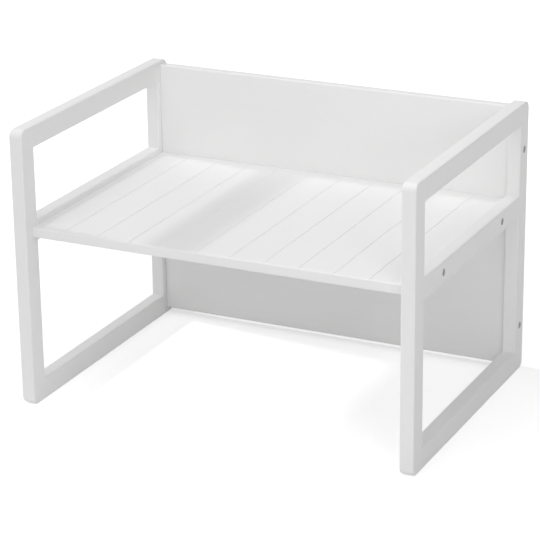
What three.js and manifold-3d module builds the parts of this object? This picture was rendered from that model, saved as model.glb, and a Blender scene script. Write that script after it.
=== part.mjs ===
import * as THREE from 'three';
import { mergeVertices } from 'three/addons/utils/BufferGeometryUtils.js';
import Module from 'manifold-3d';

const wasm = await Module();
wasm.setup();

// Child's turn-over bench. Millimetres, X to the right, Y to the back, Z up.
// The origin is on the floor, under the middle of the bench.

// Driving sizes of the whole bench
const benchWidth = 650;
const benchDepth = 456;
const benchHeight = 440;

// Side frames
const stockThickness = 22;
const stockWidth = 34;
const cornerRadius = 12;
const arrisRadius = 2.2;
const seatRailHeight = 260;

// Seat board
const seatThickness = 16;
const seatFrontSetback = 18;
const boardEdgeRadius = 2.6;
const boardRearRadius = 0.75;
const boardEndRadius = 0.5;
const boardCount = 11;
const grooveWidth = 3.2;
const grooveDepth = 0.9;

// Back board
const backThickness = 16;
const backRearSetback = 8;
const backTopGap = 6;
const backBottomGap = 9;

// Dowels of the rail joints
const dowelDiameter = 8;
const dowelLength = 30;
const dowelSpacing = 18;
const dowelEndGap = 1;
const dowelFit = 0.15;

// Bolts with a socket head
const boltDiameter = 6;
const boltLength = 45;
const boltHeadDiameter = 10;
const boltHeadHeight = 6;
const boltHeadChamfer = 0.6;
const socketAcross = 5;
const socketDepth = 3;
const headRecess = 4;
const boltFit = 0.3;
const boltHeadFit = 0.5;
const boltTipRoom = 2;
const seatBoltSpacing = 240;
const backBoltInset = 75;

// Barrel nuts, set into the hidden face of their board
const nutDiameter = 10;
const nutLength = 12.5;
const nutEdgeDistance = 26;
const nutRecess = 1;
const nutFit = 0.15;
const nutSlotWidth = 1.6;
const nutSlotDepth = 1.2;

// Fineness of round shapes
const cornerSteps = 6;
const arrisSteps = 2;
const endSteps = 1;
const roundSides = 16;
const dowelSides = 12;
const socketSides = 6;

// One overrun serves every cut that has to pass a face
const overrun = 5;

// Places that follow from the sizes above
const halfWidth = benchWidth / 2;
const halfDepth = benchDepth / 2;
const innerHalfWidth = halfWidth - stockThickness;
const boardLength = innerHalfWidth * 2;
const frameMiddle = innerHalfWidth + stockThickness / 2;
const frontFace = -halfDepth;
const rearFace = halfDepth;
const railFront = frontFace + stockWidth;
const railRear = rearFace - stockWidth;
const seatRailMiddle = seatRailHeight + stockWidth / 2;
const backRear = rearFace - backRearSetback;
const backFront = backRear - backThickness;
const backMiddle = backFront + backThickness / 2;
const seatFront = frontFace + seatFrontSetback;
const seatDepth = backFront - seatFront;
const seatBottom = seatRailMiddle - seatThickness / 2;
const seatTop = seatBottom + seatThickness;
const backBottom = backBottomGap;
const backTop = benchHeight - backTopGap;
const headFloor = halfWidth - headRecess - boltHeadHeight;
const boltTip = headFloor - boltLength;
const nutPlace = innerHalfWidth - nutEdgeDistance;
const dowelHoleRadius = dowelDiameter / 2 + dowelFit;
const boltHoleRadius = boltDiameter / 2 + boltFit;
const headHoleRadius = boltHeadDiameter / 2 + boltHeadFit;
const nutHoleRadius = nutDiameter / 2 + nutFit;

// Paint, timber and steel
const paint = { color: 0xe9e9e7, roughness: 0.45, metalness: 0 };
const timber = { color: 0xd8b98a, roughness: 0.8, metalness: 0 };
const steel = { color: 0x8f9195, roughness: 0.35, metalness: 1 };

// A closed mesh becomes a solid that can be joined and cut.
function solidOf(geometry) {
  geometry.deleteAttribute('normal');
  geometry.deleteAttribute('uv');
  const welded = mergeVertices(geometry);
  return new wasm.Manifold(new wasm.Mesh({
    numProp: 3,
    vertProperties: new Float32Array(welded.attributes.position.array),
    triVerts: new Uint32Array(welded.index.array),
  }));
}

// A solid becomes a geometry with flat-shaded faces.
function geometryOf(solid) {
  const mesh = solid.getMesh();
  const geometry = new THREE.BufferGeometry();
  geometry.setAttribute('position', new THREE.BufferAttribute(mesh.vertProperties, 3));
  geometry.setIndex(new THREE.BufferAttribute(mesh.triVerts, 1));
  geometry.computeVertexNormals();
  return geometry;
}

function boxSolid(xMin, xMax, yMin, yMax, zMin, zMax) {
  const box = new THREE.BoxGeometry(xMax - xMin, yMax - yMin, zMax - zMin);
  box.translate((xMin + xMax) / 2, (yMin + yMax) / 2, (zMin + zMax) / 2);
  return solidOf(box);
}

// A round bar between two places along one axis; the other two coordinates are its centre line.
function barSolid(axis, from, to, first, second, radius, sides) {
  const bar = new THREE.CylinderGeometry(radius, radius, to - from, sides);
  const middle = (from + to) / 2;
  if (axis === 'x') {
    bar.rotateZ(-Math.PI / 2);
    bar.translate(middle, first, second);
  } else if (axis === 'y') {
    bar.translate(first, middle, second);
  } else {
    bar.rotateX(Math.PI / 2);
    bar.translate(first, second, middle);
  }
  return solidOf(bar);
}

// Draws a rectangle into a path, with one radius for its two corners at xMin and one for those at xMax.
function roundedRectangle(path, xMin, xMax, yMin, yMax, nearRadius, farRadius) {
  path.moveTo(xMin + nearRadius, yMin);
  path.lineTo(xMax - farRadius, yMin);
  path.absarc(xMax - farRadius, yMin + farRadius, farRadius, -Math.PI / 2, 0);
  path.lineTo(xMax, yMax - farRadius);
  path.absarc(xMax - farRadius, yMax - farRadius, farRadius, 0, Math.PI / 2);
  path.lineTo(xMin + nearRadius, yMax);
  path.absarc(xMin + nearRadius, yMax - nearRadius, nearRadius, Math.PI / 2, Math.PI);
  path.lineTo(xMin, yMin + nearRadius);
  path.absarc(xMin + nearRadius, yMin + nearRadius, nearRadius, Math.PI, Math.PI * 1.5);
}

// A hole through a frame, between two rails.
function frameOpening(zMin, zMax) {
  const hole = new THREE.Path();
  hole.moveTo(railFront, zMin);
  hole.lineTo(railFront, zMax);
  hole.lineTo(railRear, zMax);
  hole.lineTo(railRear, zMin);
  hole.lineTo(railFront, zMin);
  return hole;
}

// A shape drawn in Y and Z and extruded along X from xMin, with its end arrises rounded over
// inside its own outline.
function easedPlate(shape, xMin, thickness, radius, steps) {
  const plate = new THREE.ExtrudeGeometry(shape, {
    depth: thickness - radius * 2,
    bevelThickness: radius,
    bevelSize: radius,
    bevelOffset: -radius,
    bevelSegments: steps,
    curveSegments: cornerSteps,
  });
  const turned = new THREE.Matrix4().makeBasis(
    new THREE.Vector3(0, 1, 0),
    new THREE.Vector3(0, 0, 1),
    new THREE.Vector3(1, 0, 0),
  );
  return plate.applyMatrix4(turned).translate(xMin + radius, 0, 0);
}

// The whole side frame before it is divided.
function frameBlank(xMin) {
  const outline = new THREE.Shape();
  roundedRectangle(outline, frontFace, rearFace, 0, benchHeight, cornerRadius, cornerRadius);
  outline.holes.push(frameOpening(stockWidth, seatRailHeight));
  outline.holes.push(frameOpening(seatRailHeight + stockWidth, benchHeight - stockWidth));
  return easedPlate(outline, xMin, stockThickness, arrisRadius, arrisSteps);
}

// Every rail joint: the face where the rail meets its leg, and the rail's middle height.
const railMiddles = {
  top_rail: benchHeight - stockWidth / 2,
  seat_rail: seatRailMiddle,
  bottom_rail: stockWidth / 2,
};
const jointFaces = { front: railFront, rear: railRear };
const dowelLevels = { lower: -dowelSpacing / 2, upper: dowelSpacing / 2 };

function forEachDowel(visit) {
  for (const [rail, middle] of Object.entries(railMiddles)) {
    for (const [end, face] of Object.entries(jointFaces)) {
      for (const [level, offset] of Object.entries(dowelLevels)) {
        visit(`${rail}_${end}_${level}`, face, middle + offset);
      }
    }
  }
}

function dowelHoles(x) {
  const holes = [];
  const reach = dowelLength / 2 + dowelEndGap;
  forEachDowel((name, face, z) => {
    const hole = barSolid('y', face - reach, face + reach, x, z, dowelHoleRadius, dowelSides);
    holes.push(hole);
  });
  return holes;
}

// Every bolt of one side: the board it holds, and where its axis stands.
const seatBolts = [
  { board: 'seat', end: 'front', y: -seatBoltSpacing / 2, z: seatRailMiddle },
  { board: 'seat', end: 'rear', y: seatBoltSpacing / 2, z: seatRailMiddle },
];
const backBolts = [
  { board: 'back', end: 'lower', y: backMiddle, z: backBoltInset },
  { board: 'back', end: 'upper', y: backMiddle, z: benchHeight - backBoltInset },
];
const allBolts = [...seatBolts, ...backBolts];

// Bars along X are written for the right side and mirrored by the sign for the left.
function sideBar(side, near, far, y, z, radius, sides) {
  const from = Math.min(side * near, side * far);
  const to = Math.max(side * near, side * far);
  return barSolid('x', from, to, y, z, radius, sides);
}

function boltHoles(side, bolts) {
  const holes = [];
  const hidden = boltTip - boltTipRoom;
  for (const { y, z } of bolts) {
    const shankHole = sideBar(side, hidden, headFloor + overrun, y, z, boltHoleRadius, roundSides);
    const headHole = sideBar(side, headFloor, halfWidth + overrun, y, z, headHoleRadius, roundSides);
    holes.push(shankHole, headHole);
  }
  return holes;
}

function cutAll(solid, cutters) {
  return cutters.reduce((left, cutter) => left.subtract(cutter), solid);
}

function addMesh(group, name, solid, finish) {
  const mesh = new THREE.Mesh(geometryOf(solid), new THREE.MeshStandardMaterial(finish));
  mesh.name = name;
  group.add(mesh);
}

// Legs and rails are the parts of the frame blank that lie in their own boxes.
function addFrame(group, side, sideName) {
  const inner = side > 0 ? innerHalfWidth : -halfWidth;
  const blank = solidOf(frameBlank(inner));
  const drilled = cutAll(blank, [...dowelHoles(side * frameMiddle), ...boltHoles(side, allBolts)]);
  const cutFrom = inner - overrun;
  const cutTo = inner + stockThickness + overrun;
  const piece = (yMin, yMax, zMin, zMax) => {
    const room = boxSolid(cutFrom, cutTo, yMin, yMax, zMin, zMax);
    return drilled.intersect(room);
  };
  const below = -overrun;
  const above = benchHeight + overrun;
  addMesh(group, `${sideName}_front_leg`, piece(frontFace - overrun, railFront, below, above), paint);
  addMesh(group, `${sideName}_rear_leg`, piece(railRear, rearFace + overrun, below, above), paint);
  for (const [rail, middle] of Object.entries(railMiddles)) {
    const bar = piece(railFront, railRear, middle - stockWidth, middle + stockWidth);
    addMesh(group, `${sideName}_${rail}`, bar, paint);
  }
}

function addDowels(group, side, sideName) {
  const x = side * frameMiddle;
  const reach = dowelLength / 2;
  const radius = dowelDiameter / 2;
  forEachDowel((name, face, z) => {
    const pin = barSolid('y', face - reach, face + reach, x, z, radius, dowelSides);
    addMesh(group, `${sideName}_dowel_${name}`, pin, timber);
  });
}

// A socket-head bolt: its profile is turned about its axis, then laid along X with its head outwards.
function boltSolid(side, y, z) {
  const headRadius = boltHeadDiameter / 2;
  const shankRadius = boltDiameter / 2;
  const profile = [
    new THREE.Vector2(0, -boltLength),
    new THREE.Vector2(shankRadius - boltHeadChamfer, -boltLength),
    new THREE.Vector2(shankRadius, boltHeadChamfer - boltLength),
    new THREE.Vector2(shankRadius, 0),
    new THREE.Vector2(headRadius, 0),
    new THREE.Vector2(headRadius, boltHeadHeight - boltHeadChamfer),
    new THREE.Vector2(headRadius - boltHeadChamfer, boltHeadHeight),
    new THREE.Vector2(0, boltHeadHeight),
  ];
  const body = solidOf(new THREE.LatheGeometry(profile, roundSides));
  const socketRadius = socketAcross / Math.sqrt(3);
  const socket = new THREE.CylinderGeometry(socketRadius, socketRadius, socketDepth + overrun, socketSides);
  socket.translate(0, boltHeadHeight - socketDepth + (socketDepth + overrun) / 2, 0);
  const bolt = geometryOf(body.subtract(solidOf(socket)));
  bolt.rotateZ(-side * Math.PI / 2);
  bolt.translate(side * headFloor, y, z);
  return solidOf(bolt);
}

function addBolts(group, side, sideName) {
  for (const { board, end, y, z } of allBolts) {
    addMesh(group, `${sideName}_${board}_bolt_${end}`, boltSolid(side, y, z), steel);
  }
}

// Nuts lie across their board, with their slotted end in its hidden face.
function nutSpan(board, length, rim) {
  if (board === 'seat') {
    return { axis: 'z', from: seatBottom + rim, to: seatBottom + rim + length };
  }
  return { axis: 'y', from: backRear - rim - length, to: backRear - rim };
}

function nutBar(side, bolt, length, rim, radius) {
  const { axis, from, to } = nutSpan(bolt.board, length, rim);
  const second = axis === 'z' ? bolt.y : bolt.z;
  return barSolid(axis, from, to, side * nutPlace, second, radius, roundSides);
}

function nutHoles(side, bolts) {
  const depth = nutRecess + nutLength + nutFit;
  return bolts.map((bolt) => nutBar(side, bolt, depth + overrun, -overrun, nutHoleRadius));
}

function nutSlot(side, { board, y, z }) {
  const x = side * nutPlace;
  const half = nutSlotWidth / 2;
  const wide = nutDiameter;
  if (board === 'seat') {
    const mouth = seatBottom + nutRecess;
    return boxSolid(x - wide, x + wide, y - half, y + half, mouth - overrun, mouth + nutSlotDepth);
  }
  const mouth = backRear - nutRecess;
  return boxSolid(x - wide, x + wide, mouth - nutSlotDepth, mouth + overrun, z - half, z + half);
}

function addNuts(group, side, sideName) {
  const near = nutPlace - nutDiameter;
  const far = nutPlace + nutDiameter;
  const boreRadius = boltDiameter / 2 + nutFit;
  for (const bolt of allBolts) {
    const body = nutBar(side, bolt, nutLength, nutRecess, nutDiameter / 2);
    const bore = sideBar(side, near, far, bolt.y, bolt.z, boreRadius, roundSides);
    const nut = cutAll(body, [bore, nutSlot(side, bolt)]);
    addMesh(group, `${sideName}_${bolt.board}_nut_${bolt.end}`, nut, steel);
  }
}

// A V-shaped cutter along Y, its point down, with its faces carried on above the board.
function grooveCutter(x) {
  const slope = grooveWidth / 2 / grooveDepth;
  const above = seatTop + overrun;
  const mouth = slope * (grooveDepth + overrun);
  const section = new THREE.Shape();
  section.moveTo(x, seatTop - grooveDepth);
  section.lineTo(x + mouth, above);
  section.lineTo(x - mouth, above);
  section.lineTo(x, seatTop - grooveDepth);
  const length = seatDepth + overrun * 2;
  const cutter = new THREE.ExtrudeGeometry(section, { depth: length, bevelEnabled: false });
  cutter.rotateX(Math.PI / 2);
  cutter.translate(0, seatFront + seatDepth + overrun, 0);
  return solidOf(cutter);
}

function addSeat(group) {
  const outline = new THREE.Shape();
  roundedRectangle(outline, seatFront, backFront, seatBottom, seatTop, boardEdgeRadius, boardRearRadius);
  const blank = easedPlate(outline, -innerHalfWidth, boardLength, boardEndRadius, endSteps);
  const pitch = boardLength / boardCount;
  const cutters = [];
  for (let index = 1; index < boardCount; index += 1) {
    cutters.push(grooveCutter(-innerHalfWidth + pitch * index));
  }
  for (const side of [-1, 1]) {
    cutters.push(...boltHoles(side, seatBolts), ...nutHoles(side, seatBolts));
  }
  addMesh(group, 'seat_board', cutAll(solidOf(blank), cutters), paint);
}

function addBack(group) {
  const outline = new THREE.Shape();
  roundedRectangle(outline, backFront, backRear, backBottom, backTop, boardEdgeRadius, boardEdgeRadius);
  const blank = easedPlate(outline, -innerHalfWidth, boardLength, boardEndRadius, endSteps);
  const cutters = [];
  for (const side of [-1, 1]) {
    cutters.push(...boltHoles(side, backBolts), ...nutHoles(side, backBolts));
  }
  addMesh(group, 'back_board', cutAll(solidOf(blank), cutters), paint);
}

const bench = new THREE.Group();
addSeat(bench);
addBack(bench);
for (const [sideName, side] of [['left', -1], ['right', 1]]) {
  addFrame(bench, side, sideName);
  addDowels(bench, side, sideName);
  addBolts(bench, side, sideName);
  addNuts(bench, side, sideName);
}

export default bench;
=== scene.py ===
import math

import bmesh
import bpy
from mathutils import Matrix, Vector


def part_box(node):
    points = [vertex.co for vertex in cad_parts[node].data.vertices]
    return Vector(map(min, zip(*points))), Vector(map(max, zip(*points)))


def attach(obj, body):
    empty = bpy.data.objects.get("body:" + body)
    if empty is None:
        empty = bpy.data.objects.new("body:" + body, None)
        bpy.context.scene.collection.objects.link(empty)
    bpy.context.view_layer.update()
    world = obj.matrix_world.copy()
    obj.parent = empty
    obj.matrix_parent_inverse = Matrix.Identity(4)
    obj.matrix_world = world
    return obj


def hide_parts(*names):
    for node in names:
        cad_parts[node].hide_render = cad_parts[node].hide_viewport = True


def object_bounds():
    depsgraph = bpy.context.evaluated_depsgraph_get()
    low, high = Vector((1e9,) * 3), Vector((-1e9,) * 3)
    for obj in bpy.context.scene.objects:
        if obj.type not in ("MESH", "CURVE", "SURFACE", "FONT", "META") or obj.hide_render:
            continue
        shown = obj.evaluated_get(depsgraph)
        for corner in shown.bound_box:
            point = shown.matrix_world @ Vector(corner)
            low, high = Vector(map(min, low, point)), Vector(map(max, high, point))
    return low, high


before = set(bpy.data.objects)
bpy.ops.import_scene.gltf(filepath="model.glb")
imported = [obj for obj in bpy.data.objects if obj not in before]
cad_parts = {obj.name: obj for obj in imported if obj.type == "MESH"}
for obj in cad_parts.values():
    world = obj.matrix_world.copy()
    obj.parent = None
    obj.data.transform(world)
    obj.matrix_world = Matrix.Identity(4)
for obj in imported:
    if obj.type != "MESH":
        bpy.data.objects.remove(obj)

# A child's painted turn-over bench. Metres, X to the right, Y to the back, Z up.

cad_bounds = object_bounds()
scene = bpy.context.scene
sides = ("left", "right")

# Sizes that the wood gets in the workshop
corner_radius = 0.012
arris_radius = 0.0022
board_edge_radius = 0.0026
board_butt_radius = 0.0007
joint_chamfer = 0.00025
groove_width = 0.0032
groove_depth = 0.0009
plank_count = 11

# Bolts with a socket head, and the boards that they hold
bolt_shank_radius = 0.003
bolt_head_radius = 0.005
bolt_head_height = 0.006
bolt_chamfer = 0.0006
socket_across = 0.005
socket_depth = 0.003
bolt_ends = {"seat": ("front", "rear"), "back": ("lower", "upper")}
drilled_members = {"seat_rail": "seat", "rear_leg": "back"}

# Barrel nuts: the axis, 0 to 2, that they lie along and the turn about X that shows their slot
nut_radius = 0.005
nut_chamfer = 0.00042
nut_thread_fit = 0.00015
nut_slot_width = 0.0016
nut_slot_depth = 0.0012
nut_axes = {"seat": 2, "back": 1}
nut_turns = {"seat": math.pi, "back": -math.pi / 2}

# Room round the fittings in their holes and past their ends, and how far a cutter passes a face
head_fit = 0.0005
shank_fit = 0.0003
nut_fit = 0.00015
tip_room = 0.002
nut_end_room = 0.00095
cutter_overrun = 0.005
face_clearance = 0.0001

# The rounded rim of a hole, and where its round bends and ends in shares of it
hole_rim = 0.0004
bend_share = 0.3
mouth_share = 1.1

# Fineness of the rounded shapes
corner_steps = 12
arris_steps = 5
butt_steps = 3
round_sides = 48
socket_sides = 6
stations_each_side = 5
turning_circle = 0.002

# Tolerances of the mesh work, angles in radians, and how much the flat faces count in its shading
same_place = 1e-6
flat_angle = 0.0005
corner_angle = 0.6
sharp_angle = math.radians(32)
flat_face_weight = 100

# Colours of paint, wood and steel
paint_low = (0.872, 0.872, 0.870)
paint_high = (0.892, 0.892, 0.890)
paint_worn = (0.83, 0.827, 0.82)
# A grey laid over the paint inside the bores, darker than the paint: painted shade in the holes
painted_bore_shade = (0.68, 0.668, 0.645)
beech_dark = (0.52, 0.36, 0.20)
beech_pale = (0.72, 0.54, 0.34)
steel_dark = (0.085, 0.085, 0.088)
steel_light = (0.13, 0.13, 0.134)
steel_worn = (0.30, 0.30, 0.31)
ramp_start = 0.3
ramp_end = 0.7

# Finish of the paint and the steel
grain_share = 0.45
cloud_share = 0.55
rubbed_share = 0.5
rubbed_gloss = 0.12
bore_roughness = 0.35
paint_ior = 1.48
polished_share = 0.4

# The camera: azimuth, elevation and roll in degrees, and its lens
camera_angles = (25.892, 20.346, -0.716)
camera_place = (1.4307, -2.9654, 1.4121)
focal_pixels = 2279.9
picture_pixels = 540.0
sensor_width = 36.0
farthest_seen = 100.0

# The studio: the room's soft light from the front, and the glow of the floor near the bench and away
room_light = 0.404
floor_reach = 30.0
floor_colour = (0.95, 0.95, 0.95, 1.0)
floor_glow_near = 0.42
floor_glow_away = 0.75
near_distance = 0.3
away_distance = 1.6
lamp_target = (0.0, 0.0, 0.25)
white = (1.0, 1.0, 1.0, 1.0)


# Nodes of a shader or a geometry tree

def add_node(tree, kind, **settings):
    node = tree.nodes.new(kind)
    for name, value in settings.items():
        setattr(node, name, value)
    return node


def math_node(tree, operation, first, second=None, third=None):
    """A sum on sockets or plain numbers."""
    node = add_node(tree, "ShaderNodeMath", operation=operation)
    for socket, value in zip(node.inputs, (first, second, third)):
        if value is None:
            continue
        if isinstance(value, bpy.types.NodeSocket):
            tree.links.new(value, socket)
        else:
            socket.default_value = value
    return node.outputs[0]


def negative(tree, value):
    return math_node(tree, "MULTIPLY", value, -1.0)


def twice(tree, value):
    return math_node(tree, "MULTIPLY", value, 2.0)


def noise_node(tree, place, scale, detail=3.0, roughness=0.5):
    node = add_node(tree, "ShaderNodeTexNoise")
    node.inputs["Scale"].default_value = scale
    node.inputs["Detail"].default_value = detail
    node.inputs["Roughness"].default_value = roughness
    tree.links.new(place, node.inputs["Vector"])
    return node.outputs["Fac"]


def fibre_noise(tree, place, axis, across, along, roughness=0.5):
    """Noise drawn out along one axis, 0 to 2, with so many cells a metre across it and along it."""
    cells = [across, across, across]
    cells[axis] = along
    drawn_out = add_node(tree, "ShaderNodeMapping")
    drawn_out.inputs["Scale"].default_value = cells
    tree.links.new(place, drawn_out.inputs["Vector"])
    return noise_node(tree, drawn_out.outputs["Vector"], scale=1.0, detail=4.0, roughness=roughness)


def colour_ramp(tree, value, first, last):
    """Runs from one colour to another as the value rises."""
    node = add_node(tree, "ShaderNodeValToRGB")
    stops = ((ramp_start, first), (ramp_end, last))
    for element, (position, colour) in zip(node.color_ramp.elements, stops):
        element.position = position
        element.color = (*colour, 1.0)
    tree.links.new(value, node.inputs["Fac"])
    return node.outputs["Color"]


def laid_over(tree, amount, under, over):
    """The colour under with the plain colour over laid on it by the amount."""
    node = add_node(tree, "ShaderNodeMix", data_type="RGBA")
    tree.links.new(amount, node.inputs["Factor"])
    tree.links.new(under, node.inputs["A"])
    node.inputs["B"].default_value = (*over, 1.0)
    return node.outputs["Result"]


def map_value(tree, value, low, high):
    node = add_node(tree, "ShaderNodeMapRange")
    node.inputs["To Min"].default_value = low
    node.inputs["To Max"].default_value = high
    tree.links.new(value, node.inputs["Value"])
    return node.outputs["Result"]


def bump_node(tree, height, distance, strength, before=None):
    node = add_node(tree, "ShaderNodeBump")
    node.inputs["Distance"].default_value = distance
    node.inputs["Strength"].default_value = strength
    tree.links.new(height, node.inputs["Height"])
    if before is not None:
        tree.links.new(before, node.inputs["Normal"])
    return node.outputs["Normal"]


def mark_of(tree, name):
    """A mark that a piece's mesh carries."""
    return add_node(tree, "ShaderNodeAttribute", attribute_name=name).outputs["Fac"]


def new_material(name):
    material = bpy.data.materials.new(name)
    material.use_nodes = True
    tree = material.node_tree
    shader = tree.nodes["Principled BSDF"]
    coordinates = add_node(tree, "ShaderNodeTexCoord")
    return material, tree, shader, coordinates.outputs["Object"]


# Materials

def satin_paint(name, axis):
    """White satin paint over wood whose grain runs along one axis, 0 to 2."""
    material, tree, shader, place = new_material(name)
    grain = fibre_noise(tree, place, axis, across=190.0, along=9.0, roughness=0.6)
    clouds = noise_node(tree, place, scale=9.0, detail=2.0)
    grain_part = math_node(tree, "MULTIPLY", grain, grain_share)
    film = math_node(tree, "ADD", grain_part, math_node(tree, "MULTIPLY", clouds, cloud_share))
    rubbed = rubbed_edges(tree, place)
    bored = mark_of(tree, "bare_wood")
    coat = colour_ramp(tree, film, paint_low, paint_high)
    coat = laid_over(tree, rubbed, coat, paint_worn)
    # Inside the bores the coat gives way to a darker grey, which paints the shade of the holes
    coat = laid_over(tree, bored, coat, painted_bore_shade)
    tree.links.new(coat, shader.inputs["Base Color"])
    tree.links.new(paint_roughness(tree, film, rubbed, bored), shader.inputs["Roughness"])
    orange_peel = noise_node(tree, place, scale=520.0, detail=2.0)
    relief = bump_node(tree, grain, distance=0.00011, strength=0.5)
    relief = bump_node(tree, orange_peel, distance=0.00004, strength=0.5, before=relief)
    tree.links.new(relief, shader.inputs["Normal"])
    shader.inputs["IOR"].default_value = paint_ior
    return material


def rubbed_edges(tree, place):
    """How far hands have rubbed the paint, in patches along the rounded edges."""
    patches = map_value(tree, noise_node(tree, place, scale=34.0), low=0.0, high=1.1)
    rubbed = math_node(tree, "MULTIPLY", mark_of(tree, "arris"), patches)
    return math_node(tree, "MULTIPLY", rubbed, rubbed_share)


def paint_roughness(tree, film, rubbed, bored):
    """Satin on the film, a little smoother where it is rubbed and rough inside a bore."""
    satin = map_value(tree, film, low=0.40, high=0.50)
    satin = math_node(tree, "SUBTRACT", satin, math_node(tree, "MULTIPLY", rubbed, rubbed_gloss))
    return math_node(tree, "MULTIPLY_ADD", bored, bore_roughness, satin)


def bare_beech():
    material, tree, shader, place = new_material("bare_beech")
    fibre = fibre_noise(tree, place, axis=1, across=900.0, along=60.0)
    colour = colour_ramp(tree, fibre, beech_dark, beech_pale)
    tree.links.new(colour, shader.inputs["Base Color"])
    tree.links.new(map_value(tree, fibre, low=0.7, high=0.85), shader.inputs["Roughness"])
    relief = bump_node(tree, fibre, distance=0.0001, strength=0.4)
    tree.links.new(relief, shader.inputs["Normal"])
    return material


def plated_steel():
    material, tree, shader, place = new_material("plated_steel")
    mottle = noise_node(tree, place, scale=700.0)
    scuffs = noise_node(tree, place, scale=2600.0, detail=2.0)
    colour = colour_ramp(tree, mottle, steel_dark, steel_light)
    polished = math_node(tree, "MULTIPLY", mark_of(tree, "arris"), polished_share)
    tree.links.new(laid_over(tree, polished, colour, steel_worn), shader.inputs["Base Color"])
    tree.links.new(map_value(tree, scuffs, low=0.30, high=0.46), shader.inputs["Roughness"])
    relief = bump_node(tree, scuffs, distance=0.00003, strength=0.4)
    tree.links.new(relief, shader.inputs["Normal"])
    shader.inputs["Metallic"].default_value = 1.0
    return material


paint_side_to_side = satin_paint("satin_paint_side_to_side", 0)
paint_front_to_back = satin_paint("satin_paint_front_to_back", 1)
paint_upright = satin_paint("satin_paint_upright", 2)
beech = bare_beech()
steel = plated_steel()


# Bolts, nuts and the holes that they need

def fitting_nodes(kind, board=None, side_name=None):
    """The nodes of the bolts or nuts, all of them or those of one board or one side."""
    return [
        f"{each_side}_{each_board}_{kind}_{end}"
        for each_side in sides if side_name in (None, each_side)
        for each_board, ends in bolt_ends.items() if board in (None, each_board)
        for end in ends
    ]


def middle_of(node):
    low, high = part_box(node)
    return (low + high) / 2


def bolt_reach(node):
    """How far a bolt's tip and its head's face lie from the bench's middle, and its side's sign."""
    low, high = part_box(node)
    tip, head_face = sorted((abs(low.x), abs(high.x)))
    side = 1 if low.x + high.x > 0 else -1
    return tip, head_face, side


class Bore:
    """The round hole of a bolt or nut along one axis, 0 to 2."""

    def __init__(self, node, axis, radius):
        self.middle = middle_of(node)
        self.axis = axis
        self.radius = radius

    def holds(self, point):
        apart = point - self.middle
        apart[self.axis] = 0.0
        return apart.length < self.radius + same_place


def bores_of(board):
    """Every hole drilled for a board's bolts and nuts."""
    head_holes = [Bore(node, 0, bolt_head_radius + head_fit) for node in fitting_nodes("bolt", board)]
    radius = nut_radius + nut_fit
    nut_holes = [Bore(node, nut_axes[board], radius) for node in fitting_nodes("nut", board)]
    return head_holes + nut_holes


# Finishing a piece

def mark_arris(mesh):
    """Stores how far each point lies round a rounded edge: 0 on a flat face, 1 in mid-round."""
    mid_round = 0.25
    values = []
    for vertex in mesh.vertices:
        x, y, z = (part * part for part in vertex.normal)
        values.append(min(1.0, (x * y + y * z + z * x) / mid_round))
    attribute = mesh.attributes.new("arris", "FLOAT", "POINT")
    attribute.data.foreach_set("value", values)


def mark_bore_walls(mesh, bores):
    """Marks the faces inside a bore, where the paint is laid over with a darker grey as painted shade."""
    values = []
    for face in mesh.polygons:
        corners = [mesh.vertices[index].co for index in face.vertices]
        inside = any(all(bore.holds(corner) for corner in corners) for bore in bores)
        values.append(1.0 if inside else 0.0)
    attribute = mesh.attributes.new("bare_wood", "FLOAT", "FACE")
    attribute.data.foreach_set("value", values)


def baked(piece):
    """Turns a piece with live modifiers into a plain mesh."""
    graph = bpy.context.evaluated_depsgraph_get()
    mesh = bpy.data.meshes.new_from_object(piece.evaluated_get(graph))
    piece.modifiers.clear()
    piece.data = mesh


def new_piece(name, mesh):
    piece = bpy.data.objects.new(name, mesh)
    scene.collection.objects.link(piece)
    return piece


def mesh_of(bm, name):
    bmesh.ops.recalc_face_normals(bm, faces=bm.faces)
    mesh = bpy.data.meshes.new(name)
    bm.to_mesh(mesh)
    bm.free()
    return mesh


def drill(piece, cutters):
    for cutter in cutters:
        hole = piece.modifiers.new("hole", "BOOLEAN")
        hole.operation = "DIFFERENCE"
        hole.solver = "EXACT"
        hole.object = cutter
        baked(piece)


def smooth(piece):
    """Rounds shade smoothly, flats stay flat and sharp edges stay sharp."""
    mesh = piece.data
    mesh.shade_smooth()
    mesh.set_sharp_from_angle(angle=sharp_angle)
    weigh = piece.modifiers.new("weigh", "WEIGHTED_NORMAL")
    weigh.keep_sharp = True
    weigh.weight = flat_face_weight
    baked(piece)
    mark_arris(piece.data)


def finish_piece(piece, material, nodes, bores=()):
    smooth(piece)
    mark_bore_walls(piece.data, bores)
    piece.data.materials.clear()
    piece.data.materials.append(material)
    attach(piece, "root")
    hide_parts(*nodes)


# Side frames

def arris_sections(low_x, high_x):
    """The X places and insets of the rings that round over both arrises of a side frame."""
    turns = [math.pi / 2 * step / arris_steps for step in range(arris_steps + 1)]
    low = []
    for turn in turns:
        low.append((low_x + arris_radius * (1 - math.cos(turn)), arris_radius * (1 - math.sin(turn))))
    high = [(low_x + high_x - x, inset) for x, inset in reversed(low)]
    return low + high


def outer_ring(front, rear, height, inset):
    """The outline of a side frame with its rounded corners, drawn in by the inset."""
    centres = [
        (front + corner_radius, corner_radius, math.pi),
        (rear - corner_radius, corner_radius, math.pi * 1.5),
        (rear - corner_radius, height - corner_radius, 0.0),
        (front + corner_radius, height - corner_radius, math.pi / 2),
    ]
    radius = corner_radius - inset
    ring = []
    for y, z, start in centres:
        for step in range(corner_steps + 1):
            turn = start + math.pi / 2 * step / corner_steps
            ring.append((y + radius * math.cos(turn), z + radius * math.sin(turn)))
    return ring


def opening_ring(front, rear, low, high, inset):
    front, rear, low, high = front - inset, rear + inset, low - inset, high + inset
    return [(front, low), (rear, low), (rear, high), (front, high)]


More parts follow.
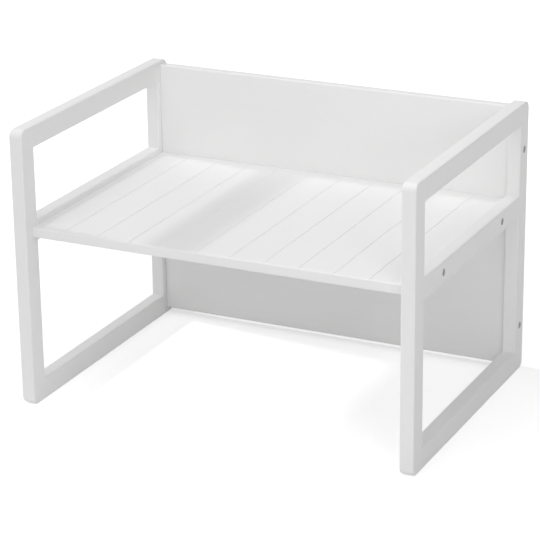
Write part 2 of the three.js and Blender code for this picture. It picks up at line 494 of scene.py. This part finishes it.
def join_rings(bm, rings):
    """Closes the band between each ring of points and the next."""
    for ring, following in zip(rings, rings[1:]):
        for index in range(len(ring)):
            after = (index + 1) % len(ring)
            bm.faces.new((ring[index], ring[after], following[after], following[index]))


def add_rings(bm, sections, ring_at):
    """Joins the rings of all sections with faces and gives the edges of the first and last ring."""
    rings = []
    for x, inset in sections:
        rings.append([bm.verts.new((x, y, z)) for y, z in ring_at(inset)])
    join_rings(bm, rings)
    ends = []
    for ring in (rings[0], rings[-1]):
        ends.append([bm.edges.get((ring[index - 1], ring[index])) for index in range(len(ring))])
    return ends


def frame_blank(side_name):
    """The whole side frame as it is routed, before it is divided at its joints."""
    leg_low, leg_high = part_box(f"{side_name}_front_leg")
    rear_low, rear_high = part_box(f"{side_name}_rear_leg")
    bottom_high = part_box(f"{side_name}_bottom_rail")[1]
    seat_low, seat_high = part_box(f"{side_name}_seat_rail")
    top_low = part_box(f"{side_name}_top_rail")[0]
    sections = arris_sections(leg_low.x, leg_high.x)
    bm = bmesh.new()
    flats = add_rings(bm, sections, lambda inset: outer_ring(leg_low.y, rear_high.y, leg_high.z, inset))
    for low, high in ((bottom_high.z, seat_low.z), (seat_high.z, top_low.z)):
        ends = add_rings(
            bm, sections, lambda inset: opening_ring(leg_high.y, rear_low.y, low, high, inset))
        for flat, end in zip(flats, ends):
            flat.extend(end)
    for flat in flats:
        bmesh.ops.triangle_fill(bm, edges=flat, use_beauty=True)
    bmesh.ops.recalc_face_normals(bm, faces=bm.faces)
    return bm


def everything(bm):
    return bm.verts[:] + bm.edges[:] + bm.faces[:]


def cut_at(bm, y, keep):
    """Cuts at a joint plane and keeps the rear part where keep is 1, the front part where it is -1."""
    bmesh.ops.bisect_plane(
        bm, geom=everything(bm), dist=same_place, plane_co=(0, y, 0), plane_no=(0, -keep, 0),
        clear_outer=True)


def close_joints(bm):
    """Fills the cut ends and gives each the hairline chamfer that shows as a joint line."""
    bmesh.ops.dissolve_limit(bm, angle_limit=flat_angle, verts=bm.verts, edges=bm.edges)
    open_edges = [edge for edge in bm.edges if edge.is_boundary]
    filled = bmesh.ops.edgeloop_fill(bm, edges=open_edges)["faces"]
    bm.normal_update()
    bmesh.ops.recalc_face_normals(bm, faces=bm.faces)
    rim = set()
    for face in filled:
        for edge in face.edges:
            if edge.calc_face_angle(0.0) > corner_angle:
                rim.add(edge)
    bmesh.ops.bevel(
        bm, geom=list(rim), offset=joint_chamfer, segments=1, affect="EDGES", clamp_overlap=True)


def leg_mesh(blank, joint, keep, name):
    bm = blank.copy()
    cut_at(bm, joint, keep)
    close_joints(bm)
    return mesh_of(bm, name)


def rail_mesh(blank, front_joint, rear_joint, low, high, name):
    """The part of the blank between both joints and between two heights."""
    bm = blank.copy()
    cut_at(bm, front_joint, 1)
    cut_at(bm, rear_joint, -1)
    stray = []
    for face in bm.faces:
        middle = face.calc_center_median()
        elsewhere = not low - same_place < middle.z < high + same_place
        in_joint = min(abs(middle.y - front_joint), abs(middle.y - rear_joint)) < same_place
        if elsewhere or in_joint:
            stray.append(face)
    bmesh.ops.delete(bm, geom=stray, context="FACES")
    loose = [vertex for vertex in bm.verts if not vertex.link_faces]
    bmesh.ops.delete(bm, geom=loose, context="VERTS")
    close_joints(bm)
    return mesh_of(bm, name)


def make_side_frame(side_name, cutters):
    front_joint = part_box(f"{side_name}_front_leg")[1].y
    rear_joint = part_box(f"{side_name}_rear_leg")[0].y
    blank = frame_blank(side_name)
    members = {
        "front_leg": (leg_mesh(blank, front_joint, -1, "front_leg"), paint_upright),
        "rear_leg": (leg_mesh(blank, rear_joint, 1, "rear_leg"), paint_upright),
    }
    for rail in ("top_rail", "seat_rail", "bottom_rail"):
        low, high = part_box(f"{side_name}_{rail}")
        mesh = rail_mesh(blank, front_joint, rear_joint, low.z, high.z, rail)
        members[rail] = (mesh, paint_front_to_back)
    blank.free()
    for member, (mesh, material) in members.items():
        piece = new_piece(f"painted_{side_name}_{member}", mesh)
        bores = ()
        if member in drilled_members:
            board = drilled_members[member]
            drill(piece, [cutters[node] for node in fitting_nodes("bolt", board, side_name)])
            bores = bores_of(board)
        finish_piece(piece, material, [f"{side_name}_{member}"], bores)


# Cutters of the holes

def cutter_object(name, profile, turn):
    """A closed round cutter: profile pairs of distance along the axis and radius, turned into place."""
    bm = bmesh.new()
    rings = []
    for along, radius in profile:
        ring = []
        for step in range(round_sides):
            angle = math.tau * step / round_sides
            ring.append(bm.verts.new((radius * math.cos(angle), radius * math.sin(angle), along)))
        rings.append(ring)
    join_rings(bm, rings)
    bm.faces.new(rings[0])
    bm.faces.new(rings[-1])
    bmesh.ops.transform(bm, matrix=turn, verts=bm.verts)
    cutter = new_piece(name, mesh_of(bm, name))
    cutter.hide_render = True
    return cutter


def bolt_cutter(node):
    """The stepped hole of a bolt, from past its tip to past the frame's face, with a rounded rim."""
    tip, head_face, side = bolt_reach(node)
    frame_face = cad_bounds[1][0]
    head_floor = head_face - bolt_head_height
    shank = bolt_shank_radius + shank_fit
    head = bolt_head_radius + head_fit
    profile = [
        (tip - tip_room, shank),
        (head_floor, shank),
        (head_floor, head),
        (frame_face - hole_rim, head),
        (frame_face - hole_rim * bend_share, head + hole_rim * bend_share),
        (frame_face + face_clearance, head + hole_rim * mouth_share),
        (frame_face + cutter_overrun, head + hole_rim * mouth_share),
    ]
    middle = middle_of(node)
    place = Matrix.Translation((0, middle.y, middle.z))
    return cutter_object(f"cutter_{node}", profile, place @ Matrix.Rotation(side * math.pi / 2, 4, "Y"))


def nut_cutter(node, board):
    """The blind hole of a barrel nut, open at the board's hidden face."""
    low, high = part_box(node)
    reach = (high - low)[nut_axes[board]] / 2 + nut_end_room
    radius = nut_radius + nut_fit
    profile = [(-reach, radius), (reach + cutter_overrun, radius)]
    place = Matrix.Translation(middle_of(node))
    return cutter_object(f"cutter_{node}", profile, place @ Matrix.Rotation(nut_turns[board], 4, "X"))


def make_cutters():
    """A cutter for every bolt and nut, by the name of its node."""
    cutters = {node: bolt_cutter(node) for node in fitting_nodes("bolt")}
    for board in bolt_ends:
        for node in fitting_nodes("nut", board):
            cutters[node] = nut_cutter(node, board)
    return cutters


def board_cutters(cutters, board):
    return [cutters[node] for node in fitting_nodes("bolt", board) + fitting_nodes("nut", board)]


# Boards

def board_blank(low, high, stations, last_free):
    """A board. Its long edges up to the Y place last_free are rounded well, its other edges a little."""
    bm = bmesh.new()
    bmesh.ops.create_cube(bm, size=1.0)
    size = high - low
    middle = (low + high) / 2
    for vertex in bm.verts:
        vertex.co = middle + Vector([part * length for part, length in zip(vertex.co, size)])
    free = []
    for edge in bm.edges:
        first, second = (end.co for end in edge.verts)
        if abs(first.x - second.x) > same_place and first.y < last_free + same_place:
            free.append(edge)
    bmesh.ops.bevel(
        bm, geom=free, offset=board_edge_radius, segments=arris_steps, profile=0.5, affect="EDGES")
    butting = [edge for edge in bm.edges if edge.calc_face_angle(0.0) > corner_angle]
    bmesh.ops.bevel(
        bm, geom=butting, offset=board_butt_radius, segments=butt_steps, profile=0.5, affect="EDGES")
    for x in stations:
        bmesh.ops.bisect_plane(
            bm, geom=everything(bm), dist=same_place, plane_co=(x, 0, 0), plane_no=(1, 0, 0))
    return bm


def start_tree(name, geometry, sizes):
    """A tree with a geometry input and output of one name, a number for each size and a finish."""
    tree = bpy.data.node_groups.new(name, "GeometryNodeTree")
    panel = tree.interface
    panel.new_socket(geometry, in_out="INPUT", socket_type="NodeSocketGeometry")
    for size in sizes:
        panel.new_socket(size, in_out="INPUT", socket_type="NodeSocketFloat")
    panel.new_socket("Finish", in_out="INPUT", socket_type="NodeSocketMaterial")
    panel.new_socket(geometry, in_out="OUTPUT", socket_type="NodeSocketGeometry")
    return tree, add_node(tree, "NodeGroupInput").outputs


def end_tree(tree, geometry, finish, name):
    """Every tree ends in real faces with their material."""
    real = add_node(tree, "GeometryNodeRealizeInstances")
    tree.links.new(geometry, real.inputs[0])
    finished = add_node(tree, "GeometryNodeSetMaterial")
    tree.links.new(real.outputs[0], finished.inputs["Geometry"])
    tree.links.new(finish, finished.inputs["Material"])
    out = add_node(tree, "NodeGroupOutput")
    tree.links.new(finished.outputs["Geometry"], out.inputs[name])


def groove_fall(tree, given, x):
    """1 in the middle of a groove, 0 outside it, and 0 at the two ends of the board."""
    planks = math_node(
        tree, "DIVIDE", math_node(tree, "SUBTRACT", x, given["Left end"]), given["Plank width"])
    nearest = math_node(tree, "ROUND", planks)
    gap = math_node(tree, "ABSOLUTE", math_node(tree, "SUBTRACT", planks, nearest))
    gap = math_node(tree, "MULTIPLY", gap, given["Plank width"])
    fall = add_node(tree, "ShaderNodeMapRange", interpolation_type="SMOOTHSTEP")
    tree.links.new(gap, fall.inputs["Value"])
    tree.links.new(math_node(tree, "MULTIPLY", given["Groove width"], 0.5), fall.inputs["From Max"])
    fall.inputs["To Min"].default_value = 1.0
    fall.inputs["To Max"].default_value = 0.0
    after_first = math_node(tree, "GREATER_THAN", nearest, 0.5)
    last = math_node(tree, "SUBTRACT", given["Plank count"], 0.5)
    before_last = math_node(tree, "LESS_THAN", nearest, last)
    between = math_node(tree, "MULTIPLY", after_first, before_last)
    return math_node(tree, "MULTIPLY", fall.outputs["Result"], between)


def groove_tree():
    """Lowers the top of a board along evenly spaced lines, as a cutter with a rounded V would."""
    tree, given = start_tree("plank grooves", "Board", (
        "Left end", "Plank width", "Plank count", "Top height", "Groove width", "Groove depth"))
    place = add_node(tree, "GeometryNodeInputPosition")
    apart = add_node(tree, "ShaderNodeSeparateXYZ")
    tree.links.new(place.outputs[0], apart.inputs[0])
    x, y, z = apart.outputs
    depth = math_node(tree, "MULTIPLY", groove_fall(tree, given, x), given["Groove depth"])
    cut_height = math_node(tree, "SUBTRACT", given["Top height"], depth)
    lowered = math_node(tree, "MINIMUM", z, cut_height)
    joined = add_node(tree, "ShaderNodeCombineXYZ")
    for socket, value in zip(joined.inputs, (x, y, lowered)):
        tree.links.new(value, socket)
    moved = add_node(tree, "GeometryNodeSetPosition")
    tree.links.new(given["Board"], moved.inputs["Geometry"])
    tree.links.new(joined.outputs[0], moved.inputs["Position"])
    end_tree(tree, moved.outputs["Geometry"], given["Finish"], "Board")
    return tree


def grow(piece, tree, **values):
    """Runs a geometry tree on a piece with its named sizes and keeps the result as a plain mesh."""
    modifier = piece.modifiers.new(tree.name, "NODES")
    modifier.node_group = tree
    for item in tree.interface.items_tree:
        key = item.name.replace(" ", "_").lower()
        if item.in_out == "INPUT" and key in values:
            modifier[item.identifier] = values[key]
    baked(piece)


def groove_stations(low, high):
    """The X places where the seat's mesh is divided, so that each groove gets its round bottom."""
    pitch = (high.x - low.x) / plank_count
    between = groove_width / 2 / (stations_each_side - 1)
    steps = range(-stations_each_side, stations_each_side + 1)
    return [low.x + pitch * index + between * step for index in range(1, plank_count) for step in steps]


def make_seat(cutters):
    low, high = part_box("seat_board")
    blank = board_blank(low, high, groove_stations(low, high), low.y)
    seat = new_piece("grooved_seat_board", mesh_of(blank, "seat"))
    grow(
        seat, groove_tree(), left_end=low.x, plank_width=(high.x - low.x) / plank_count,
        plank_count=float(plank_count), top_height=high.z, groove_width=groove_width,
        groove_depth=groove_depth, finish=paint_front_to_back)
    drill(seat, board_cutters(cutters, "seat"))
    finish_piece(seat, paint_front_to_back, ["seat_board"], bores_of("seat"))


def make_back(cutters):
    low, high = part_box("back_board")
    back = new_piece("painted_back_board", mesh_of(board_blank(low, high, (), high.y), "back"))
    drill(back, board_cutters(cutters, "back"))
    finish_piece(back, paint_side_to_side, ["back_board"], bores_of("back"))


# Fittings

def place_points(name, places):
    """A point at each place, which carries the turn that a fitting stands at there."""
    mesh = bpy.data.meshes.new(name)
    mesh.from_pydata([place for place, turn in places], [], [])
    turns = mesh.attributes.new("turn", "FLOAT_VECTOR", "POINT")
    for item, (place, turn) in zip(turns.data, places):
        item.vector = turn
    return new_piece(name, mesh)


def turned_shape(tree, profile):
    """A closed turned shape about Z, from pairs of radius and height, each a socket or a number."""
    line = add_node(tree, "GeometryNodeMeshLine")
    line.inputs["Count"].default_value = len(profile)
    chosen = add_node(tree, "GeometryNodeIndexSwitch", data_type="VECTOR")
    while len(chosen.index_switch_items) < len(profile):
        chosen.index_switch_items.new()
    tree.links.new(add_node(tree, "GeometryNodeInputIndex").outputs[0], chosen.inputs["Index"])
    for number, (radius, height) in enumerate(profile):
        point = add_node(tree, "ShaderNodeCombineXYZ")
        tree.links.new(math_node(tree, "SUBTRACT", radius, turning_circle), point.inputs["X"])
        tree.links.new(negative(tree, height), point.inputs["Y"])
        tree.links.new(point.outputs[0], chosen.inputs[number + 1])
    shaped = add_node(tree, "GeometryNodeSetPosition")
    tree.links.new(line.outputs[0], shaped.inputs["Geometry"])
    tree.links.new(chosen.outputs[0], shaped.inputs["Position"])
    outline = add_node(tree, "GeometryNodeMeshToCurve")
    tree.links.new(shaped.outputs[0], outline.inputs[0])
    return swept_round(tree, outline.outputs[0])


def swept_round(tree, outline):
    """Sweeps an outline round the turning circle and closes it at the axis."""
    circle = add_node(tree, "GeometryNodeCurvePrimitiveCircle")
    circle.inputs["Resolution"].default_value = round_sides
    circle.inputs["Radius"].default_value = turning_circle
    swept = add_node(tree, "GeometryNodeCurveToMesh")
    tree.links.new(circle.outputs[0], swept.inputs["Curve"])
    tree.links.new(outline, swept.inputs["Profile Curve"])
    merged = add_node(tree, "GeometryNodeMergeByDistance")
    merged.inputs["Distance"].default_value = same_place
    tree.links.new(swept.outputs[0], merged.inputs["Geometry"])
    return merged.outputs[0]


def subtract(tree, shape, cutters):
    cut = add_node(tree, "GeometryNodeMeshBoolean", operation="DIFFERENCE", solver="EXACT")
    tree.links.new(shape, cut.inputs["Mesh 1"])
    for cutter in cutters:
        tree.links.new(cutter, cut.inputs["Mesh 2"])
    return cut.outputs["Mesh"]


def set_out(tree, given, shape):
    """Puts one shape at every place, turned as the place says."""
    turn = add_node(tree, "GeometryNodeInputNamedAttribute", data_type="FLOAT_VECTOR")
    turn.inputs["Name"].default_value = "turn"
    rotation = add_node(tree, "FunctionNodeEulerToRotation")
    tree.links.new(turn.outputs["Attribute"], rotation.inputs[0])
    copies = add_node(tree, "GeometryNodeInstanceOnPoints")
    tree.links.new(given["Fittings"], copies.inputs["Points"])
    tree.links.new(shape, copies.inputs["Instance"])
    tree.links.new(rotation.outputs[0], copies.inputs["Rotation"])
    end_tree(tree, copies.outputs["Instances"], given["Finish"], "Fittings")
    return tree


def bolt_tree():
    """A socket-head bolt about Z whose head's face lies at zero."""
    tree, given = start_tree("socket bolts", "Fittings", (
        "Length", "Shank radius", "Head radius", "Head height", "Chamfer", "Socket radius", "Socket depth"))
    shank, head, chamfer = given["Shank radius"], given["Head radius"], given["Chamfer"]
    under_head = negative(tree, given["Head height"])
    tip = math_node(tree, "SUBTRACT", under_head, given["Length"])
    bend = math_node(tree, "MULTIPLY", chamfer, bend_share)
    shape = turned_shape(tree, [
        (0.0, tip),
        (math_node(tree, "SUBTRACT", shank, chamfer), tip),
        (shank, math_node(tree, "ADD", tip, chamfer)),
        (shank, under_head),
        (head, under_head),
        (head, negative(tree, chamfer)),
        (math_node(tree, "SUBTRACT", head, bend), negative(tree, bend)),
        (math_node(tree, "SUBTRACT", head, chamfer), 0.0),
        (0.0, 0.0),
    ])
    socket = add_node(tree, "GeometryNodeMeshCylinder")
    socket.inputs["Vertices"].default_value = socket_sides
    tree.links.new(given["Socket radius"], socket.inputs["Radius"])
    tree.links.new(twice(tree, given["Socket depth"]), socket.inputs["Depth"])
    return set_out(tree, given, subtract(tree, shape, [socket.outputs["Mesh"]]))


def cross_bore(tree, given, across):
    """The bore of a barrel nut along X, long enough to pass both its sides."""
    bore = add_node(tree, "GeometryNodeMeshCylinder")
    bore.inputs["Vertices"].default_value = round_sides
    tree.links.new(given["Bore radius"], bore.inputs["Radius"])
    tree.links.new(across, bore.inputs["Depth"])
    laid = add_node(tree, "GeometryNodeTransform")
    laid.inputs["Rotation"].default_value = (0.0, math.pi / 2, 0.0)
    tree.links.new(bore.outputs["Mesh"], laid.inputs["Geometry"])
    return laid.outputs["Geometry"]


def driving_slot(tree, given, across, top):
    """The slot for a screwdriver across the top of a barrel nut."""
    size = add_node(tree, "ShaderNodeCombineXYZ")
    tree.links.new(across, size.inputs["X"])
    tree.links.new(given["Slot width"], size.inputs["Y"])
    tree.links.new(twice(tree, given["Slot depth"]), size.inputs["Z"])
    slot = add_node(tree, "GeometryNodeMeshCube")
    tree.links.new(size.outputs[0], slot.inputs["Size"])
    shift = add_node(tree, "ShaderNodeCombineXYZ")
    tree.links.new(top, shift.inputs["Z"])
    raised = add_node(tree, "GeometryNodeTransform")
    tree.links.new(slot.outputs["Mesh"], raised.inputs["Geometry"])
    tree.links.new(shift.outputs[0], raised.inputs["Translation"])
    return raised.outputs["Geometry"]


def nut_tree():
    """A barrel nut about Z with its cross bore and its driving slot, the slot at the top."""
    tree, given = start_tree("barrel nuts", "Fittings", (
        "Length", "Radius", "Chamfer", "Bore radius", "Slot width", "Slot depth"))
    radius, chamfer = given["Radius"], given["Chamfer"]
    top = math_node(tree, "MULTIPLY", given["Length"], 0.5)
    bottom = negative(tree, top)
    small = math_node(tree, "SUBTRACT", radius, chamfer)
    shape = turned_shape(tree, [
        (0.0, bottom),
        (small, bottom),
        (radius, math_node(tree, "ADD", bottom, chamfer)),
        (radius, math_node(tree, "SUBTRACT", top, chamfer)),
        (small, top),
        (0.0, top),
    ])
    across = twice(tree, twice(tree, radius))
    cuts = [cross_bore(tree, given, across), driving_slot(tree, given, across, top)]
    return set_out(tree, given, subtract(tree, shape, cuts))


def make_bolts():
    places = []
    for node in fitting_nodes("bolt"):
        head_face, side = bolt_reach(node)[1:]
        middle = middle_of(node)
        places.append(((side * head_face, middle.y, middle.z), (0.0, side * math.pi / 2, 0.0)))
    bolts = place_points("socket_bolts", places)
    low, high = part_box("left_seat_bolt_front")
    grow(
        bolts, bolt_tree(), length=high.x - low.x - bolt_head_height, shank_radius=bolt_shank_radius,
        head_radius=bolt_head_radius, head_height=bolt_head_height, chamfer=bolt_chamfer,
        socket_radius=socket_across / math.sqrt(3), socket_depth=socket_depth, finish=steel)
    finish_piece(bolts, steel, fitting_nodes("bolt"))


def make_nuts():
    places = []
    for board in bolt_ends:
        for node in fitting_nodes("nut", board):
            places.append((tuple(middle_of(node)), (nut_turns[board], 0.0, 0.0)))
    nuts = place_points("barrel_nuts", places)
    low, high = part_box("left_seat_nut_front")
    grow(
        nuts, nut_tree(), length=high.z - low.z, radius=nut_radius, chamfer=nut_chamfer,
        bore_radius=bolt_shank_radius + nut_thread_fit, slot_width=nut_slot_width,
        slot_depth=nut_slot_depth, finish=steel)
    finish_piece(nuts, steel, fitting_nodes("nut"))


def finish_dowels():
    for name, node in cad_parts.items():
        if "_dowel_" in name:
            for slot in node.material_slots:
                slot.material = beech


# Studio

def aim(place, target):
    back = (Vector(place) - Vector(target)).normalized()
    return back.to_track_quat("Z", "Y").to_euler()


def make_camera():
    azimuth, elevation, roll = (math.radians(angle) for angle in camera_angles)
    forward = Vector((
        -math.sin(azimuth) * math.cos(elevation), math.cos(azimuth) * math.cos(elevation),
        -math.sin(elevation)))
    right = forward.cross(Vector((0, 0, 1))).normalized()
    up = right.cross(forward)
    rolled_right = right * math.cos(roll) + up * math.sin(roll)
    rolled_up = up * math.cos(roll) - right * math.sin(roll)
    lens = bpy.data.cameras.new("camera")
    lens.sensor_width = sensor_width
    lens.lens = focal_pixels / picture_pixels * sensor_width
    lens.clip_end = farthest_seen
    camera = bpy.data.objects.new("camera", lens)
    axes = Matrix((rolled_right, rolled_up, -forward)).transposed()
    camera.matrix_world = Matrix.Translation(camera_place) @ axes.to_4x4()
    scene.collection.objects.link(camera)
    scene.camera = camera


def seen_directly(tree):
    """1 for rays that come from the camera, a mirror or clear glass, 0 for light."""
    path = add_node(tree, "ShaderNodeLightPath").outputs
    either = math_node(tree, "MAXIMUM", path["Is Camera Ray"], path["Is Glossy Ray"])
    return math_node(tree, "MAXIMUM", either, path["Is Transmission Ray"])


def glow_by_distance(tree):
    """The floor's own glow, which grows away from the bench and leaves its shadow near it."""
    away = add_node(tree, "ShaderNodeVectorMath", operation="LENGTH")
    tree.links.new(add_node(tree, "ShaderNodeTexCoord").outputs["Object"], away.inputs[0])
    glow = add_node(tree, "ShaderNodeMapRange", interpolation_type="SMOOTHSTEP")
    tree.links.new(away.outputs["Value"], glow.inputs["Value"])
    glow.inputs["From Min"].default_value = near_distance
    glow.inputs["From Max"].default_value = away_distance
    glow.inputs["To Min"].default_value = floor_glow_near
    glow.inputs["To Max"].default_value = floor_glow_away
    return glow.outputs["Result"]


def floor_material():
    """Matt and pale, with a glow that only the camera and mirrors see."""
    material = bpy.data.materials.new("studio_floor")
    material.use_nodes = True
    tree = material.node_tree
    tree.nodes.clear()
    matt = add_node(tree, "ShaderNodeBsdfDiffuse")
    matt.inputs["Color"].default_value = floor_colour
    glow = add_node(tree, "ShaderNodeEmission")
    glow.inputs["Color"].default_value = white
    shown = math_node(tree, "MULTIPLY", seen_directly(tree), glow_by_distance(tree))
    tree.links.new(shown, glow.inputs["Strength"])
    both = add_node(tree, "ShaderNodeAddShader")
    tree.links.new(matt.outputs[0], both.inputs[0])
    tree.links.new(glow.outputs[0], both.inputs[1])
    out = add_node(tree, "ShaderNodeOutputMaterial")
    tree.links.new(both.outputs[0], out.inputs["Surface"])
    return material


def make_floor():
    mesh = bpy.data.meshes.new("floor")
    far = floor_reach
    mesh.from_pydata([(-far, -far, 0), (far, -far, 0), (far, far, 0), (-far, far, 0)], [], [(0, 1, 2, 3)])
    mesh.materials.append(floor_material())
    new_piece("floor", mesh)


def make_world():
    """White where it is seen, and soft light that is strongest from the front."""
    world = bpy.data.worlds.new("studio")
    world.use_nodes = True
    scene.world = world
    tree = world.node_tree
    background = tree.nodes["Background"]
    background.inputs["Color"].default_value = white
    towards = add_node(tree, "ShaderNodeSeparateXYZ")
    tree.links.new(add_node(tree, "ShaderNodeTexCoord").outputs["Generated"], towards.inputs[0])
    front = math_node(tree, "SUBTRACT", 1.0, towards.outputs["Y"])
    soft = math_node(tree, "MULTIPLY", front, room_light)
    seen = seen_directly(tree)
    unseen = math_node(tree, "SUBTRACT", 1.0, seen)
    tree.links.new(math_node(tree, "MULTIPLY_ADD", soft, unseen, seen), background.inputs["Strength"])


def make_sun(name, place, strength, spread):
    lamp = bpy.data.lights.new(name, "SUN")
    lamp.energy = strength
    lamp.angle = math.radians(spread)
    sun = bpy.data.objects.new(name, lamp)
    sun.rotation_euler = aim(place, (0, 0, 0))
    sun.visible_glossy = False
    scene.collection.objects.link(sun)


def make_softbox(name, place, size, power):
    lamp = bpy.data.lights.new(name, "AREA")
    lamp.shape = "SQUARE"
    lamp.size = size
    lamp.energy = power
    box = bpy.data.objects.new(name, lamp)
    box.location = place
    box.rotation_euler = aim(place, lamp_target)
    box.visible_camera = False
    scene.collection.objects.link(box)


# The studio, then the bench in it

make_camera()
make_world()
make_floor()
make_sun("key_light", (-0.873, 0.083, 0.496), strength=0.89, spread=3.5)
make_softbox("overhead_light", (0.0, -0.3, 1.6), size=1.6, power=7.6)
make_softbox("right_light", (1.6, -1.8, 1.2), size=0.7, power=5.55)
scene.view_settings.view_transform = "Standard"

hole_cutters = make_cutters()
for side_name in sides:
    make_side_frame(side_name, hole_cutters)
make_seat(hole_cutters)
make_back(hole_cutters)
make_bolts()
make_nuts()
finish_dowels()
for cutter in hole_cutters.values():
    bpy.data.objects.remove(cutter)
